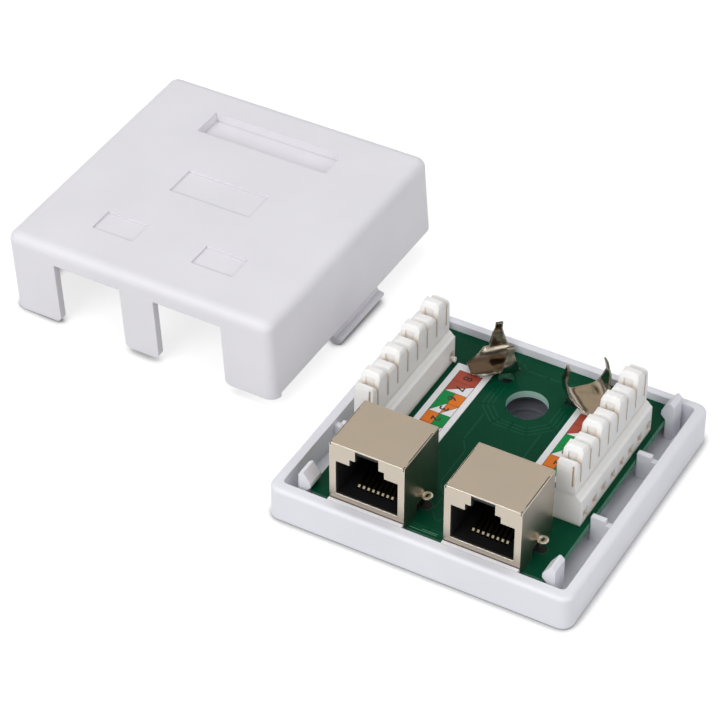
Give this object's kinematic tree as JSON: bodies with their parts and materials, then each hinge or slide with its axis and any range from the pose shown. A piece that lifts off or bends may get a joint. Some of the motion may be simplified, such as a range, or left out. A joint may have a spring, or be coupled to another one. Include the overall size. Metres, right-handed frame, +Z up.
{
  "type": "ethernet connection box",
  "caption": "Surface mount network connection box: open tray with circuit board, shielded modular sockets, punch down terminal blocks and cable clips, with its cover lying beside it.",
  "frame": {"origin": "middle of the tray's underside", "axes": "+Z up out of the open tray, -Y towards the front where the plugs go in, +X to the right"},
  "size_m": [0.142, 0.0909, 0.0239],
  "materials": {
    "shell_plastic": "fine satin moulded",
    "board_green": "solder mask",
    "shield_nickel": "nickel plated sheet",
    "socket_black": "matt",
    "contact_gold": "gold plated",
    "terminal_cream": "moulded",
    "contact_tin": "tin plated",
    "clip_nickel": "plated spring sheet",
    "label_white": "printed film"
  },
  "bodies": {
    "root": {"cover": "shell_plastic", "base_tray": "shell_plastic", "circuit_board": "board_green", "left_jack_shield": "shield_nickel", "left_jack_housing": "socket_black", "left_jack_contact_1": "contact_gold", "left_jack_contact_2": "contact_gold", "left_jack_contact_3": "contact_gold", "left_jack_contact_4": "contact_gold", "left_jack_contact_5": "contact_gold", "left_jack_contact_6": "contact_gold", "left_jack_contact_7": "contact_gold", "left_jack_contact_8": "contact_gold", "left_terminal_base": "terminal_cream", "left_terminal_comb": "terminal_cream", "left_terminal_contact_1": "contact_tin", "left_terminal_contact_2": "contact_tin", "left_terminal_contact_3": "contact_tin", "left_terminal_contact_4": "contact_tin", "left_terminal_contact_5": "contact_tin", "left_terminal_contact_6": "contact_tin", "left_terminal_contact_7": "contact_tin", "left_terminal_contact_8": "contact_tin", "left_screen_clip": "clip_nickel", "left_wiring_label": "label_white", "right_jack_shield": "shield_nickel", "right_jack_housing": "socket_black", "right_jack_contact_1": "contact_gold", "right_jack_contact_2": "contact_gold", "right_jack_contact_3": "contact_gold", "right_jack_contact_4": "contact_gold", "right_jack_contact_5": "contact_gold", "right_jack_contact_6": "contact_gold", "right_jack_contact_7": "contact_gold", "right_jack_contact_8": "contact_gold", "right_terminal_base": "terminal_cream", "right_terminal_comb": "terminal_cream", "right_terminal_contact_1": "contact_tin", "right_terminal_contact_2": "contact_tin", "right_terminal_contact_3": "contact_tin", "right_terminal_contact_4": "contact_tin", "right_terminal_contact_5": "contact_tin", "right_terminal_contact_6": "contact_tin", "right_terminal_contact_7": "contact_tin", "right_terminal_contact_8": "contact_tin", "right_screen_clip": "clip_nickel", "right_wiring_label": "label_white"}
  },
  "joints": []
}
